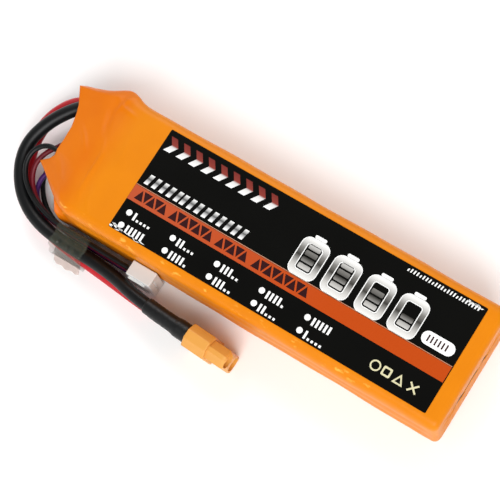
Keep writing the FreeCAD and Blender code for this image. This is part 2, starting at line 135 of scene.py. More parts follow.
class Finish:
    """A material built around one Principled shader."""

    def __init__(self, name, **constants):
        self.material = bpy.data.materials.new(name)
        self.material.use_nodes = True
        self.tree = self.material.node_tree
        self.tree.nodes.clear()
        self.shader = self.tree.nodes.new("ShaderNodeBsdfPrincipled")
        end = self.tree.nodes.new("ShaderNodeOutputMaterial")
        self.tree.links.new(self.shader.outputs[0], end.inputs["Surface"])
        self.set(**constants)

    def feed(self, node, name, value):
        """Links a Signal to an input, or sets the input's own value."""
        if isinstance(value, Signal):
            self.tree.links.new(value.socket, node.inputs[name])
        else:
            node.inputs[name].default_value = value

    def set(self, **values):
        """Inputs of the Principled shader, with words_like_this for its names."""
        for name, value in values.items():
            words = {"specular": "Specular IOR Level", "ior": "IOR"}
            self.feed(self.shader, words.get(name, name.replace("_", " ").title()), value)

    def node(self, kind, settings=None, inputs=None, output=0):
        """Any node: its settings first, a ramp's stops among them, then its inputs."""
        made = self.tree.nodes.new(kind)
        for name, value in (settings or {}).items():
            if name == "stops":
                ramp = made.color_ramp.elements
                while len(ramp) < len(value):
                    ramp.new(1.0)
                for stop, (place, colour) in zip(ramp, value):
                    stop.position = place
                    stop.color = colour
            else:
                setattr(made, name, value)
        for name, value in (inputs or {}).items():
            self.feed(made, name, value)
        return Signal(self, made.outputs[output])

    def place(self, stretch=(1.0, 1.0, 1.0), turn=0.0):
        """Object coordinates in metres, stretched, and turned about Z."""
        here = self.node("ShaderNodeTexCoord", output=3)
        return self.node("ShaderNodeMapping", inputs={"Vector": here, "Scale": stretch,
                                                      "Rotation": (0.0, 0.0, turn)})

    def axis(self, letter):
        """One object coordinate, in millimetres."""
        parts = self.node("ShaderNodeSeparateXYZ", inputs={0: self.place()}, output="XYZ".index(letter))
        return parts / MM

    def noise(self, size, detail=2.0, stretch=(1.0, 1.0, 1.0), turn=0.0, roughness=0.5):
        """Soft noise from 0 to 1 whose lumps are about size metres across."""
        return self.node("ShaderNodeTexNoise", inputs={
            "Vector": self.place(stretch, turn), "Scale": 1.0 / size, "Detail": detail,
            "Roughness": roughness})

    def ramp(self, factor, *stops):
        """A colour for each value from 0 to 1."""
        return self.node("ShaderNodeValToRGB", {"stops": stops}, {0: factor})

    def clamp(self, value):
        """The value held between 0 and 1."""
        return self.node("ShaderNodeClamp", inputs={0: value})

    def tint(self, factor, first, second):
        """A colour between two colours."""
        return self.node("ShaderNodeMix", {"data_type": "RGBA"}, {0: factor, 6: first, 7: second}, 2)

    def bump(self, height, depth, strength=1.0, under=None):
        """Raises the surface by up to depth metres, on top of another bump if one is given."""
        inputs = {"Height": height, "Distance": depth, "Strength": strength}
        if under is not None:
            inputs["Normal"] = under
        return self.node("ShaderNodeBump", inputs=inputs)


def paint(red, green, blue):
    """A colour from three numbers as printed on a colour card, 0 to 255, made linear for light."""
    def linear(value):
        value /= 255.0
        return value / 12.92 if value <= 0.04045 else ((value + 0.055) / 1.055) ** 2.4
    return (linear(red), linear(green), linear(blue), 1.0)


# %% [markdown]
# Every new surface is a grid: rows one way, columns the other, all worked out as whole arrays.  One
# helper turns such an array into a mesh.  A grid may close on itself round its columns, as a tube
# does, and may be capped at its two ends.

# %% Mesh helpers


def grid_faces(rows, columns, closed):
    """Corner numbers of every quad between neighbouring rows and columns."""
    across = columns if closed else columns - 1
    row, column = np.meshgrid(np.arange(rows - 1), np.arange(across), indexing="ij")
    following = (column + 1) % columns
    corners = (row * columns + column, row * columns + following,
               (row + 1) * columns + following, (row + 1) * columns + column)
    return np.stack([c.ravel() for c in corners], -1)


def finish_piece(piece, slot_name, *finishes):
    """Links a piece, gives it its materials and lets it ride on the pack; slot_name is not used."""
    for finish in finishes:
        piece.data.materials.append(finish.material)
    scene.collection.objects.link(piece)
    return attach(piece, "root")


def mesh_piece(name, points, faces, slot_name, *finishes, smooth=True):
    """A mesh from an array of points in millimetres and a list of faces."""
    mesh = bpy.data.meshes.new(name)
    flat = [list(map(int, face)) for face in faces]
    mesh.from_pydata((np.asarray(points, float).reshape(-1, 3) * MM).tolist(), [], flat)
    mesh.polygons.foreach_set("use_smooth", np.full(len(mesh.polygons), smooth))
    mesh.update()
    piece = bpy.data.objects.new(name, mesh)
    print("%-20s %6d points %6d faces" % (name, len(mesh.vertices), len(mesh.polygons)))
    return finish_piece(piece, slot_name, *finishes)


def dress(finish, *names):
    """Gives CAD nodes a finish through their own material slots."""
    for name in names:
        for material_slot in nodes[name].material_slots:
            material_slot.material = finish.material


# %% [markdown]
# The leads are soft silicone cables: fine strands in a matt rubber jacket.  Each is one smooth line
# with a round section, so a curve with a bevel is the natural tool.  Its points are the same as in
# the solid model, in metres.  The order of the line has to be set after its points.

# %% Silicone finishes and cords


def silicone(name, colour, lift):
    """Matt rubber: a dusty film lightens it in patches, and fine moulding grain breaks its shine."""
    finish = Finish(name, roughness=0.42, specular=0.25)
    dust = finish.noise(0.004, 3.0)
    finish.set(base_color=finish.tint(dust * 0.5, colour, lift))
    finish.set(normal=finish.bump(finish.noise(0.0004, 2.0), 0.00002, 0.5))
    return finish


black_silicone = silicone("black_silicone", paint(6, 7, 8), paint(18, 19, 20))
red_silicone = silicone("red_silicone", paint(176, 14, 28), paint(196, 40, 48))
dark_red_silicone = silicone("dark_red_silicone", paint(92, 8, 22), paint(116, 24, 36))
violet_silicone = silicone("violet_silicone", paint(58, 14, 84), paint(76, 36, 100))

LEAD_DIAMETER = 0.0045
WIRE_DIAMETER = 0.0017

BLACK_LEAD = [(-0.0605, 0.0175, 0.0150), (-0.0665, 0.0175, 0.0150), (-0.0750, 0.0122, 0.0147),
              (-0.0806, 0.0054, 0.0136), (-0.0840, -0.0014, 0.0122), (-0.0852, -0.0076, 0.0109),
              (-0.0836, -0.0144, 0.0094), (-0.0784, -0.0214, 0.0082), (-0.0706, -0.0262, 0.0073),
              (-0.0596, -0.0283, 0.0072), (-0.0390, -0.0284, 0.0072), (-0.0230, -0.0322, 0.0119),
              (-0.0072, -0.0330, 0.0119)]
RED_LEAD = [(-0.0605, 0.0175, 0.0086), (-0.0710, 0.0175, 0.0086), (-0.0796, 0.0142, 0.0082),
            (-0.0844, 0.0074, 0.0076), (-0.0860, -0.0004, 0.0068), (-0.0852, -0.0076, 0.0056),
            (-0.0822, -0.0144, 0.0044), (-0.0774, -0.0204, 0.0030), (-0.0704, -0.0256, 0.0026),
            (-0.0598, -0.0282, 0.00251), (-0.0390, -0.0299, 0.00251), (-0.0230, -0.03157, 0.00473),
            (-0.00717, -0.03237, 0.00473)]
BALANCE_WIRE_1 = [(-0.0599, -0.0060, 0.0169), (-0.0663, -0.0060, 0.0169), (-0.0723, -0.0045, 0.0166),
                  (-0.0775, -0.0047, 0.0159), (-0.0808, -0.0085, 0.0148), (-0.0808, -0.0136, 0.0133),
                  (-0.0776, -0.0184, 0.0114), (-0.0720, -0.0219, 0.0100), (-0.0634, -0.0242, 0.0091),
                  (-0.0510, -0.0243, 0.0090), (-0.0408, -0.0247, 0.0099), (-0.0312, -0.0247, 0.0099)]
BALANCE_WIRE_2 = [(-0.0599, 0.0060, 0.0157), (-0.0659, 0.0060, 0.0157), (-0.0703, 0.0028, 0.0155),
                  (-0.0732, -0.0024, 0.0150), (-0.0768, -0.0066, 0.0140), (-0.0786, -0.0114, 0.0122),
                  (-0.0772, -0.0164, 0.0100), (-0.0728, -0.0208, 0.0084), (-0.0652, -0.0239, 0.0074),
                  (-0.0564, -0.0243, 0.0071), (-0.0470, -0.0244, 0.0069), (-0.0390, -0.0247, 0.0074),
                  (-0.0312, -0.0247, 0.0074)]
BALANCE_WIRE_3 = [(-0.0599, -0.0060, 0.0082), (-0.0664, -0.0060, 0.0082), (-0.0730, -0.0082, 0.0081),
                  (-0.0762, -0.0134, 0.0074), (-0.0750, -0.0190, 0.0062), (-0.0700, -0.0228, 0.0054),
                  (-0.0618, -0.0242, 0.0051), (-0.0506, -0.0244, 0.0051), (-0.0408, -0.0247, 0.0049),
                  (-0.0312, -0.0247, 0.0049)]
BALANCE_WIRE_4 = [(-0.0599, 0.0029, 0.0045), (-0.0674, 0.0029, 0.0045), (-0.0734, -0.0004, 0.0044),
                  (-0.0770, -0.0062, 0.0042), (-0.0772, -0.0124, 0.0039), (-0.0740, -0.0176, 0.0035),
                  (-0.0690, -0.0218, 0.0032), (-0.0618, -0.0242, 0.0031), (-0.0504, -0.0244, 0.0030),
                  (-0.0404, -0.0247, 0.0024), (-0.0312, -0.0247, 0.0024)]


def route_curve(name, points, diameter):
    """A smooth line with the points as its control points, as thick as the cord."""
    curve = bpy.data.curves.new(name, "CURVE")
    curve.dimensions = "3D"
    spline = curve.splines.new("NURBS")
    spline.points.add(len(points) - 1)
    spline.points.foreach_set("co", np.column_stack([points, np.ones(len(points))]).ravel())
    spline.order_u = 3
    spline.use_endpoint_u = True
    spline.use_smooth = True
    curve.resolution_u = 12
    curve.bevel_depth = diameter / 2.0
    curve.bevel_resolution = 5
    curve.use_fill_caps = True
    return curve


def route_line(points):
    """The points that a smooth line through this route passes, read from the curve itself."""
    thin = bpy.data.objects.new("line", route_curve("line", points, 0.0))
    mesh = bpy.data.meshes.new_from_object(thin)
    line = np.zeros(len(mesh.vertices) * 3)
    mesh.vertices.foreach_get("co", line)
    bpy.data.objects.remove(thin)
    return line.reshape(-1, 3)


def line_length(line):
    """Its straight pieces added up."""
    return float(np.linalg.norm(np.diff(line, axis=0), axis=1).sum())


CORDS = {
    "black_lead": (BLACK_LEAD, LEAD_DIAMETER, black_silicone, "black_silicone"),
    "red_lead": (RED_LEAD, LEAD_DIAMETER, red_silicone, "red_silicone"),
    "balance_wire_1": (BALANCE_WIRE_1, WIRE_DIAMETER, black_silicone, "black_silicone"),
    "balance_wire_2": (BALANCE_WIRE_2, WIRE_DIAMETER, dark_red_silicone, "dark_red_silicone"),
    "balance_wire_3": (BALANCE_WIRE_3, WIRE_DIAMETER, violet_silicone, "violet_silicone"),
    "balance_wire_4": (BALANCE_WIRE_4, WIRE_DIAMETER, black_silicone, "black_silicone"),
}
for name, (points, diameter, finish, slot_name) in CORDS.items():
    cord = bpy.data.objects.new(name + "_cord", route_curve(name, points, diameter))
    finish_piece(cord, slot_name, finish)
    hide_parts(name)
    print("%-16s length %.1f mm" % (name, line_length(route_line(points)) / MM))

# %% [markdown]
# The orange film is a heat-shrink sleeve.  Over the cells it is a rounded box; past them it is an
# empty collar that sags to a ragged mouth, sticks out at its far corner and droops in two ears.  At
# the closed end it turns in over the rim as a lip round a narrow slot.  All of it is one grid: stations
# along the pack, and points round a rounded rectangle at each station.

# %% Sizes of the film, from the frame
sleeve_low, sleeve_high = (np.array(corner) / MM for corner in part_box("shrink_sleeve"))
label_low, label_high = (np.array(corner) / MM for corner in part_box("front_label"))
CLOSED_END = sleeve_high[0]
BLOCK_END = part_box("circuit_board")[1].x / MM
HALF_WIDTH = sleeve_high[1]
TOP = label_low[2]
MIDDLE = TOP / 2.0
FILM_ROUND = 3.0
RIM_ROUND = 2.0
LIP = 10.6
WINDOW_ROUND = 1.2
FILM_THICK = 0.22
TOP_STEPS = 104
CORNER_STEPS = 8
SIDE_STEPS = 24
BASE_STEPS = 30
print("film from", BLOCK_END, "to", round(CLOSED_END, 2), "top", round(TOP, 2))


def around_section():
    """Points round a rounded rectangle in eight parts: top, near corner, near side and so on.
    Gives each point's place from 0 to 8, its corner signs and its outward normal; a flat part moves
    from one corner to the next with one normal, a corner part stays and turns a quarter."""
    counts = (TOP_STEPS, CORNER_STEPS, SIDE_STEPS, CORNER_STEPS,
              BASE_STEPS, CORNER_STEPS, SIDE_STEPS, CORNER_STEPS)
    part = np.repeat(np.arange(8), counts)
    share = np.concatenate([np.arange(n) / n for n in counts])
    flat = part % 2 == 0
    angle = (1.0 + part // 2 + np.where(flat, 0.0, share)) * math.pi / 2.0
    signs = np.array([(1, 1), (-1, 1), (-1, -1), (1, -1)], float)
    slide = np.where(flat, share, 1.0)[:, None]
    corner = signs[part // 2] * (1.0 - slide) + signs[(part // 2 + 1) % 4] * slide
    return part + share, corner, np.stack([np.cos(angle), np.sin(angle)], -1)


around, corner_sign, section_normal = around_section()


def block_section(x, shrink, radius):
    """Rounded rectangles at stations x: corner * (half size - shrink - radius) + radius * normal."""
    x, shrink, radius = (np.asarray(v, float)[:, None] for v in (x, shrink, radius))
    half_y = HALF_WIDTH - shrink - radius
    half_z = MIDDLE - shrink - radius
    y = corner_sign[:, 0] * half_y + radius * section_normal[:, 0]
    z = MIDDLE + corner_sign[:, 1] * half_z + radius * section_normal[:, 1]
    return np.stack([x + 0.0 * y, y, z], -1)


# %% [markdown]
# The collar's mouth is a closed ragged line.  It is given by a few points, each with its place
# round the section, and the film runs from the block's end to that line.  It leaves the block
# almost level and steepens, because nothing holds it up but its own stiffness.

# %% The collar and its mouth
MOUTH_LINE = np.array([
    (0.00, -78.3, 17.2, 18.2), (0.10, -75.9, 13.4, 18.6), (0.16, -74.5, 11.2, 19.0),
    (0.26, -73.3, 8.2, 19.3), (0.42, -72.1, 3.8, 19.6), (0.58, -71.9, -0.9, 19.6),
    (0.70, -72.2, -4.6, 19.1), (0.78, -72.3, -6.6, 17.8), (0.86, -73.6, -8.2, 16.6),
    (0.95, -76.4, -9.9, 15.1), (1.00, -76.5, -10.2, 14.9), (1.50, -74.4, -11.4, 14.1),
    (2.00, -72.4, -12.5, 13.6), (2.25, -69.8, -14.2, 13.2), (2.45, -67.5, -16.4, 12.8),
    (2.60, -65.8, -18.8, 12.3), (2.75, -64.3, -21.4, 11.2), (2.90, -62.6, -22.4, 8.4),
    (3.00, -62.0, -22.2, 5.0), (4.00, -62.4, -20.8, 0.8), (4.50, -65.5, 0.0, 0.3),
    (5.00, -72.0, 17.6, 0.4), (6.00, -74.4, 20.2, 1.8), (6.50, -76.6, 20.0, 8.6),
    (7.00, -77.8, 18.9, 14.6), (8.00, -78.3, 17.2, 18.2)])
COLLAR_ROWS = 46
LEVEL_START = 0.3
STEEP_END = 1.25
BULGE_PLACE = -60.8
BULGE_REACH = 5.2
BULGE = 2.7
BULGE_DROP = 0.9
CREASES = [
    (0.55, 0.55, [(-58.9, 5.4), (-56.5, 0.4), (-56.3, -6.2), (-56.0, -12.6), (-54.0, -18.6)]),
    (-0.4, 1.2, [(-62.2, 19.4), (-62.4, 14.3), (-60.9, 9.3), (-58.9, 5.0)]),
    (0.45, 0.7, [(-56.6, 22.6), (-59.2, 20.6), (-60.0, 17.6), (-61.0, 14.0)]),
    (0.3, 0.7, [(-64.2, 20.2), (-60.0, 17.0), (-53.0, 15.8)]),
    (0.2, 0.8, [(-53.4, -9.6), (-51.6, -15.0), (-48.6, -20.0)]),
    (0.12, 0.7, [(-52.6, 12.0), (-50.8, 4.0), (-50.0, -4.0)]),
    (0.3, 1.0, [(-71.0, 7.0), (-66.0, 3.0), (-61.6, -2.0)]),
    (-0.35, 1.2, [(-71.4, -5.4), (-67.0, -9.6), (-61.6, -16.4)]),
    (0.3, 0.9, [(-67.0, -11.6), (-62.6, -15.2), (-59.2, -20.4)])]


def creases(x, y):
    """Folds in the film: a bell-shaped ridge along each line, whose height fades to nothing at the
    line's two ends.  The nearest of the line's runs gives the distance and the place along it."""
    lift = np.zeros_like(x)
    for height, width, line in CREASES:
        line = np.array(line)
        reach = np.concatenate([[0.0], np.cumsum(np.hypot(*np.diff(line, axis=0).T))])
        aside = np.full(x.shape, 100.0)
        place = np.zeros_like(x)
        for start, end, before, after in zip(line, line[1:], reach, reach[1:]):
            run = end - start
            share = ((x - start[0]) * run[0] + (y - start[1]) * run[1]) / (run @ run)
            share = np.clip(share, 0.0, 1.0)
            gap = np.hypot(x - start[0] - share * run[0], y - start[1] - share * run[1])
            place = np.where(gap < aside, (before + share * (after - before)) / reach[-1], place)
            aside = np.minimum(gap, aside)
        lift += height * np.sin(math.pi * place) * np.exp(-(aside / width) ** 2)
    return lift


def collar_rows():
    """From the block's end to the mouth: B + (M - B) * e(u), where x moves evenly and e leaves with
    a low slope and arrives with a high one."""
    begin = block_section([BLOCK_END], [0.0], [FILM_ROUND])[0]
    finish = np.stack([np.interp(around, MOUTH_LINE[:, 0], MOUTH_LINE[:, i]) for i in (1, 2, 3)], -1)
    u = np.linspace(0.0, 1.0, COLLAR_ROWS)[:, None, None]
    ease = ((u ** 3 - 2 * u ** 2 + u) * LEVEL_START + (3 * u ** 2 - 2 * u ** 3)
            + (u ** 3 - u ** 2) * STEEP_END)
    share = np.concatenate([u, ease, ease], -1)
    return begin + (finish - begin) * share


def film_grid():
    """All stations from the lip's inner edge, over the rim, along the cells and down the collar."""
    lip = np.linspace(LIP, RIM_ROUND, 16)[:-1]
    lip_rows = block_section(np.full(len(lip), CLOSED_END), lip,
                             np.interp(lip, (RIM_ROUND, LIP), (1.6, WINDOW_ROUND)))
    turn = np.linspace(math.pi / 2.0, 0.0, 9)
    shrink = RIM_ROUND * (1.0 - np.cos(turn))
    rim_x = CLOSED_END - RIM_ROUND * (1.0 - np.sin(turn))
    rim_rows = block_section(rim_x, shrink, FILM_ROUND - 0.7 * shrink)
    far = np.linspace(CLOSED_END - RIM_ROUND, -44.0, 62)[1:]
    near = np.linspace(far[-1], BLOCK_END, 24)[1:-1]
    x = np.concatenate([far, near])
    body_rows = block_section(x, np.zeros(len(x)), np.full(len(x), FILM_ROUND))
    return np.concatenate([lip_rows, rim_rows, body_rows, collar_rows()]), len(lip)


def ruffle(grid, lip_count):
    """Adds what the tight and the loose film do: pleats in the lip's corners, a soft bulge of each
    cell in the sides, the stuck-out far corner of the collar, creases and a slow swell."""
    x, y, z = np.moveaxis(grid, -1, 0).copy()
    side = np.abs(section_normal[:, 0]) ** 3 * np.sign(section_normal[:, 0])
    over_cells = (np.clip((x - BLOCK_END) / 3.0, 0.0, 1.0)
                  * np.clip((CLOSED_END - RIM_ROUND - x) / 4.0, 0.0, 1.0))
    y += side * over_cells * (0.16 * np.cos((z - 4.5) * 2.0 * math.pi / 7.5)
                              + 0.10 * np.sin(x / 9.0 + z / 6.0) + 0.06 * np.sin(x / 3.7 - z / 4.0))
    from_far_corner = (around - 7.5 + 4.0) % 8.0 - 4.0
    stuck_out = np.exp(-(from_far_corner / 0.62) ** 2) * np.exp(-((x - BULGE_PLACE) / BULGE_REACH) ** 2)
    y += BULGE * stuck_out
    z -= BULGE_DROP * stuck_out
    upper = np.clip(section_normal[:, 1], 0.0, 1.0)
    past_cells = np.clip((BLOCK_END + 3.0 - x) / 5.0, 0.0, 1.0)
    past_label = np.clip((label_low[0] - x) / 3.0, 0.0, 1.0)
    z += upper * (past_label * creases(x, y) + 0.1 * past_cells * np.sin(x / 2.3 + y / 3.1))
    depth = np.linspace(1.0, 0.0, lip_count + 1)[:-1, None]
    pleats = np.sin(around * 21.0 + 1.4 * np.sin(around * 5.0)) * (0.6 + 0.4 * np.sin(around * 8.0))
    x[:lip_count] += 0.22 * pleats * np.sin(depth * math.pi * 0.8) - 0.25 * depth
    return np.stack([x, y, z], -1)


# %% [markdown]
# The film's orange is even but not flat: shrinking leaves faint clouds, the loose collar has no
# white cell behind it and looks deeper, and the cut edge is given a lighter orange as a painted
# highlight where it catches light; pale flecks along the near top edge are painted glints.  Fine
# wrinkles that are too small for the mesh go into the bump.

# %% Film finish
film = Finish("orange_film", roughness=0.4, specular=0.15)
clouds = film.noise(0.012, 3.0)
tight_orange = film.tint(clouds, paint(206, 116, 6), paint(218, 128, 8))
loose_orange = film.tint(clouds, paint(206, 100, 2), paint(216, 116, 6))
looseness = film.clamp((-52.0 - film.axis("X")) / 9.0)
from_edge = film.node("ShaderNodeMath", {"operation": "ABSOLUTE"}, {0: film.axis("Y") + 20.2})
over_edge = film.clamp(1.0 - from_edge / 1.5)
glints = film.clamp((film.noise(0.0022, 3.0, stretch=(0.6, 1.0, 1.0)) - 0.6) / 0.08) * over_edge * 0.7
film_orange = film.tint(looseness, tight_orange, loose_orange)
film.set(base_color=film.tint(glints, film_orange, paint(250, 190, 84)))
stretch_lines = film.noise(0.003, 3.0, stretch=(1.0, 0.3, 0.5))
film.set(normal=film.bump(film.noise(0.0007, 2.0), 0.00001, 0.6,
                          under=film.bump(stretch_lines, 0.00016, 0.6)))
# The cut edge's lighter orange is a painted highlight, standing in for light caught by the edge.
film_edge_painted_highlight = Finish("film_edge_painted_highlight", roughness=0.35, specular=0.3)
film_edge_painted_highlight.set(base_color=film_edge_painted_highlight.tint(film_edge_painted_highlight.noise(0.003), paint(244, 160, 60),
                                        paint(232, 138, 36)))

film_points, lip_count = film_grid()
film_points = ruffle(film_points, lip_count)
film_faces = grid_faces(*film_points.shape[:2], closed=True)[:, ::-1]
film_piece = mesh_piece("film_sleeve", film_points, film_faces, "film", film, film_edge_painted_highlight)
wall = film_piece.modifiers.new("wall", "SOLIDIFY")
wall.thickness = FILM_THICK * MM
wall.offset = -1.0
wall.material_offset_rim = 1
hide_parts("shrink_sleeve")

# %% [markdown]
# The label is a thin glossy sticker on the flat top.  Its print is ink, so each printed shape is a
# closed tile a few hundredths of a millimetre thick on top of the sticker; a tile keeps a sharp edge
# at any distance, which a painted pattern doesn't.  The sheet's outline has only small round corners.

# %% Label sheet
LABEL_THICK = label_high[2] - label_low[2]
INK_LOW = LABEL_THICK - 0.02
INK_HIGH = LABEL_THICK + 0.02
INK_STEP = 0.012


def rectangle(x0, x1, y0, y1, slant=0.0):
    """Four corners, with the upper side pushed along X by slant."""
    return np.array([(x0, y0), (x1, y0), (x1 + slant, y1), (x0 + slant, y1)])


def rounded(x0, x1, y0, y1, radius, steps=6):
    """A rectangle with round corners: the four corner centres plus radius times a turning normal."""
    angle = np.linspace(0.0, math.pi / 2.0, steps)[None, :] + np.arange(4)[:, None] * math.pi / 2.0
    centre = np.array([(x1 - radius, y1 - radius), (x0 + radius, y1 - radius),
                       (x0 + radius, y0 + radius), (x1 - radius, y0 + radius)])
    turn = np.stack([np.cos(angle), np.sin(angle)], -1) * radius
    return (centre[:, None, :] + turn).reshape(-1, 2)


def disc(x, y, radius, steps=20):
    """A round tile."""
    angle = np.arange(steps) * 2.0 * math.pi / steps
    return np.stack([x + radius * np.cos(angle), y + radius * np.sin(angle)], -1)


def tile_mesh(outlines, low, high):
    """Closed flat tiles.  A pair of outlines with equal counts is a ring between them: its top and
    underside are quads from one to the other.  A single outline is a plain tile."""
    points = []
    faces = []
    for outline in outlines:
        loops = [np.asarray(o) for o in (outline if isinstance(outline, tuple) else (outline,))]
        count = len(loops[0])
        start = sum(len(p) for p in points)
        for loop in loops:
            for level in (low, high):
                points.append(np.column_stack([loop, np.full(count, TOP + level)]))
        ring = np.arange(count)
        ahead = np.roll(ring, -1)

        def quads(a, b):
            return np.stack([start + a * count + ring, start + a * count + ahead,
                             start + b * count + ahead, start + b * count + ring], -1).tolist()
        if len(loops) == 1:
            faces += [(start + count + ring).tolist(), (start + ring[::-1]).tolist()]
            faces += quads(0, 1)
        else:
            faces += quads(0, 1) + quads(1, 3) + quads(3, 2) + quads(2, 0)
    return np.concatenate(points), faces


def print_piece(name, outlines, finish, step=0):
    """One ink or sheet with all its tiles, raised a little for each step over the ink below."""
    points, faces = tile_mesh(outlines, INK_LOW, INK_HIGH + step * INK_STEP)
    return mesh_piece(name, points, faces, "label_print", finish, smooth=False)


label_black = Finish("label_black", roughness=0.2, specular=0.2)
label_cloud = label_black.noise(0.02, 3.0)
label_black.set(base_color=label_black.tint(label_cloud, paint(5, 5, 4), paint(11, 11, 9)))
label_black.set(normal=label_black.bump(label_black.noise(0.006, 2.0), 0.00006, 0.4))
sheet_points, sheet_faces = tile_mesh(
    [rounded(label_low[0], label_high[0], label_low[1], label_high[1], 0.4)], 0.005, LABEL_THICK)
label_sheet = mesh_piece("label_sheet", sheet_points, sheet_faces, "label_print", label_black, smooth=False)
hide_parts("front_label")

# %% [markdown]
# Places on the label are measured from its left end and from the middle of its width.  Where a
# printed sticker would carry names and figures, this one has a plain pattern: a row of arrowheads, a
# row of slanted strokes, four charge symbols, and check dots with short strokes for their values.

# %% Inks
white_ink = Finish("white_ink", roughness=0.4, specular=0.3)
white_ink.set(base_color=white_ink.tint(white_ink.noise(0.002), paint(226, 226, 224), paint(246, 246, 244)))
band_ink = Finish("orange_band_ink", roughness=0.34, specular=0.25)
band_fade = band_ink.clamp((band_ink.axis("X") + 40.0) / 70.0)
band_ink.set(base_color=band_ink.tint(band_fade, paint(176, 76, 42), paint(178, 66, 6)))
band_line_ink = Finish("band_line_ink", roughness=0.4, specular=0.3)
band_line_ink.set(base_color=band_line_ink.tint(band_line_ink.noise(0.004), paint(170, 112, 84),
                                                paint(196, 144, 116)))
dark_ink = Finish("dark_ink", roughness=0.4, specular=0.2)
dark_ink.set(base_color=dark_ink.tint(dark_ink.noise(0.003), paint(34, 6, 10), paint(52, 10, 12)))


def graded_ink(name, low, high, *stops):
    """Ink whose colour runs up the label between two heights."""
    finish = Finish(name, roughness=0.34, specular=0.3)
    height = finish.clamp((finish.axis("Y") - low) / (high - low))
    finish.set(base_color=finish.ramp(height, *((place, paint(*colour)) for place, colour in stops)))
    return finish


CREST_LOW, CREST_HIGH = 11.3, 16.4
STROKE_LOW, STROKE_HIGH = -1.1, 2.5
SYMBOL_LOW, SYMBOL_HIGH = -2.0, 12.0
crest_ink = graded_ink("crest_ink", CREST_LOW, CREST_HIGH, (0.0, (236, 236, 234)), (0.4, (206, 204, 202)),
                       (0.52, (132, 52, 42)), (1.0, (112, 36, 30)))
stroke_ink = graded_ink("stroke_ink", STROKE_LOW, STROKE_HIGH, (0.0, (244, 244, 242)), (0.3, (190, 190, 190)),
                        (0.55, (84, 84, 84)), (1.0, (232, 232, 230)))
symbol_ink = graded_ink("symbol_ink", SYMBOL_LOW, SYMBOL_HIGH, (0.0, (226, 225, 222)), (0.2, (186, 184, 180)),
                        (0.44, (52, 50, 46)), (0.62, (120, 118, 114)), (0.86, (226, 225, 222)),
                        (1.0, (236, 236, 234)))

# %% Rows of arrowheads and strokes


def arrowhead(x, low, high, width, thick):
    """A chevron that points along the pack."""
    middle = (low + high) / 2.0
    return np.array([(x, low), (x + thick, low), (x + width, middle), (x + thick, high), (x, high),
                     (x + width - thick, middle)])


CREST_COUNT = 9
crest_step = 42.0 / CREST_COUNT
crest = [arrowhead(-40.3 + i * crest_step, CREST_LOW, CREST_HIGH, 4.1, 2.35) for i in range(CREST_COUNT)]
print_piece("crest_marks", crest, crest_ink)

STROKE_GROUPS = ((-39.6, 5), (-26.4, 9))
strokes = [rectangle(x + i * 2.75, x + i * 2.75 + 1.45, STROKE_LOW, STROKE_HIGH, 0.8)
           for x, count in STROKE_GROUPS for i in range(count)]
print_piece("stroke_marks", strokes, stroke_ink)

# %% The orange band and its dark marks
BAND_LOW, BAND_HIGH = -7.8, -2.5
band_ends = (label_low[0] + 0.05, label_high[0] - 0.3)
print_piece("label_band", [rectangle(*band_ends, BAND_LOW, BAND_HIGH)], band_ink)
print_piece("label_band_line", [rectangle(*band_ends, BAND_HIGH + 0.12, BAND_HIGH + 0.34)],
            band_line_ink)
BAND_GROUPS = ((-39.6, 5), (-26.8, 7), (-9.6, 5), (3.8, 9))
BAND_MARK_STEP = 2.15


def triangle(left, width, low, high):
    """A triangle that points up, or down where low and high are swapped."""
    points = np.array([(left, low), (left + width, low), (left + width / 2.0, high)])
    return points if high > low else points[::-1]


band_marks = []
for x, count in BAND_GROUPS:
    for i in range(count):
        low, high = (-6.7, -3.3) if i % 2 == 0 else (-3.3, -6.7)
        band_marks.append(triangle(x + i * BAND_MARK_STEP, 3.0, low, high))
print_piece("band_marks", band_marks, dark_ink, 1)

# %% Four charge symbols
SYMBOL_PLACES = (18.2, 29.75, 41.75, 53.25)
SYMBOL_BARS = (4, 4, 3, 2)
SYMBOL_HALF = 4.55
SYMBOL_WALL = 1.75
OUTLINE = 0.28
symbols = []
outlines = []
for place, bars in zip(SYMBOL_PLACES, SYMBOL_BARS):
    left, right, top = place - SYMBOL_HALF, place + SYMBOL_HALF, SYMBOL_HIGH - 1.5
    shell = [rounded(left + d, right - d, SYMBOL_LOW + d, top - d, max(2.4 - d, 0.9))
             for d in (0.0, SYMBOL_WALL)]
    symbols.append(tuple(shell))
    rims = [rounded(left + d, right - d, SYMBOL_LOW + d, top - d, max(2.4 - d, 0.8))
            for d in (-OUTLINE, 0.02, SYMBOL_WALL - 0.02, SYMBOL_WALL + OUTLINE)]
    outlines += [tuple(rims[:2]), tuple(rims[2:])]
    symbols.append(rounded(place - 2.0, place + 2.0, top + 0.35, SYMBOL_HIGH, 0.4, 3))
    for bar in range(bars):
        low = SYMBOL_LOW + SYMBOL_WALL + 0.75 + bar * 2.2
        symbols.append(rounded(left + SYMBOL_WALL + 0.75, right - SYMBOL_WALL - 0.75, low, low + 1.6, 0.3, 3))
print_piece("charge_symbols", symbols, symbol_ink)
print_piece("charge_outlines", outlines, white_ink)

# %% White marks: check dots with level bars, a fine row, plain signs and the pill
DOT_ROWS = (-11.4, -16.0)
DOT_STEP = 16.4
DOT_START = -38.1
BAR_COUNT = 5
BAR_STEP = 1.4


def level_bars(x, y, filled):
    """Five upright bars; the filled ones are tall and the others low."""
    return [rectangle(x + i * BAR_STEP, x + i * BAR_STEP + 0.75, y - 1.25,
                      y + (1.35 if i < filled else -0.45)) for i in range(BAR_COUNT)]


def cross(x, y, arm, half):
    """A diagonal cross: the twelve corners of a plus sign, turned by an eighth of a turn."""
    corner = np.array([(arm, half), (half, half), (half, arm)])
    turns = np.arange(4) * math.pi / 2.0 + math.pi / 4.0
    spun = [corner @ np.array([(math.cos(t), math.sin(t)), (-math.sin(t), math.cos(t))]) for t in turns]
    return np.concatenate(spun) + (x, y)


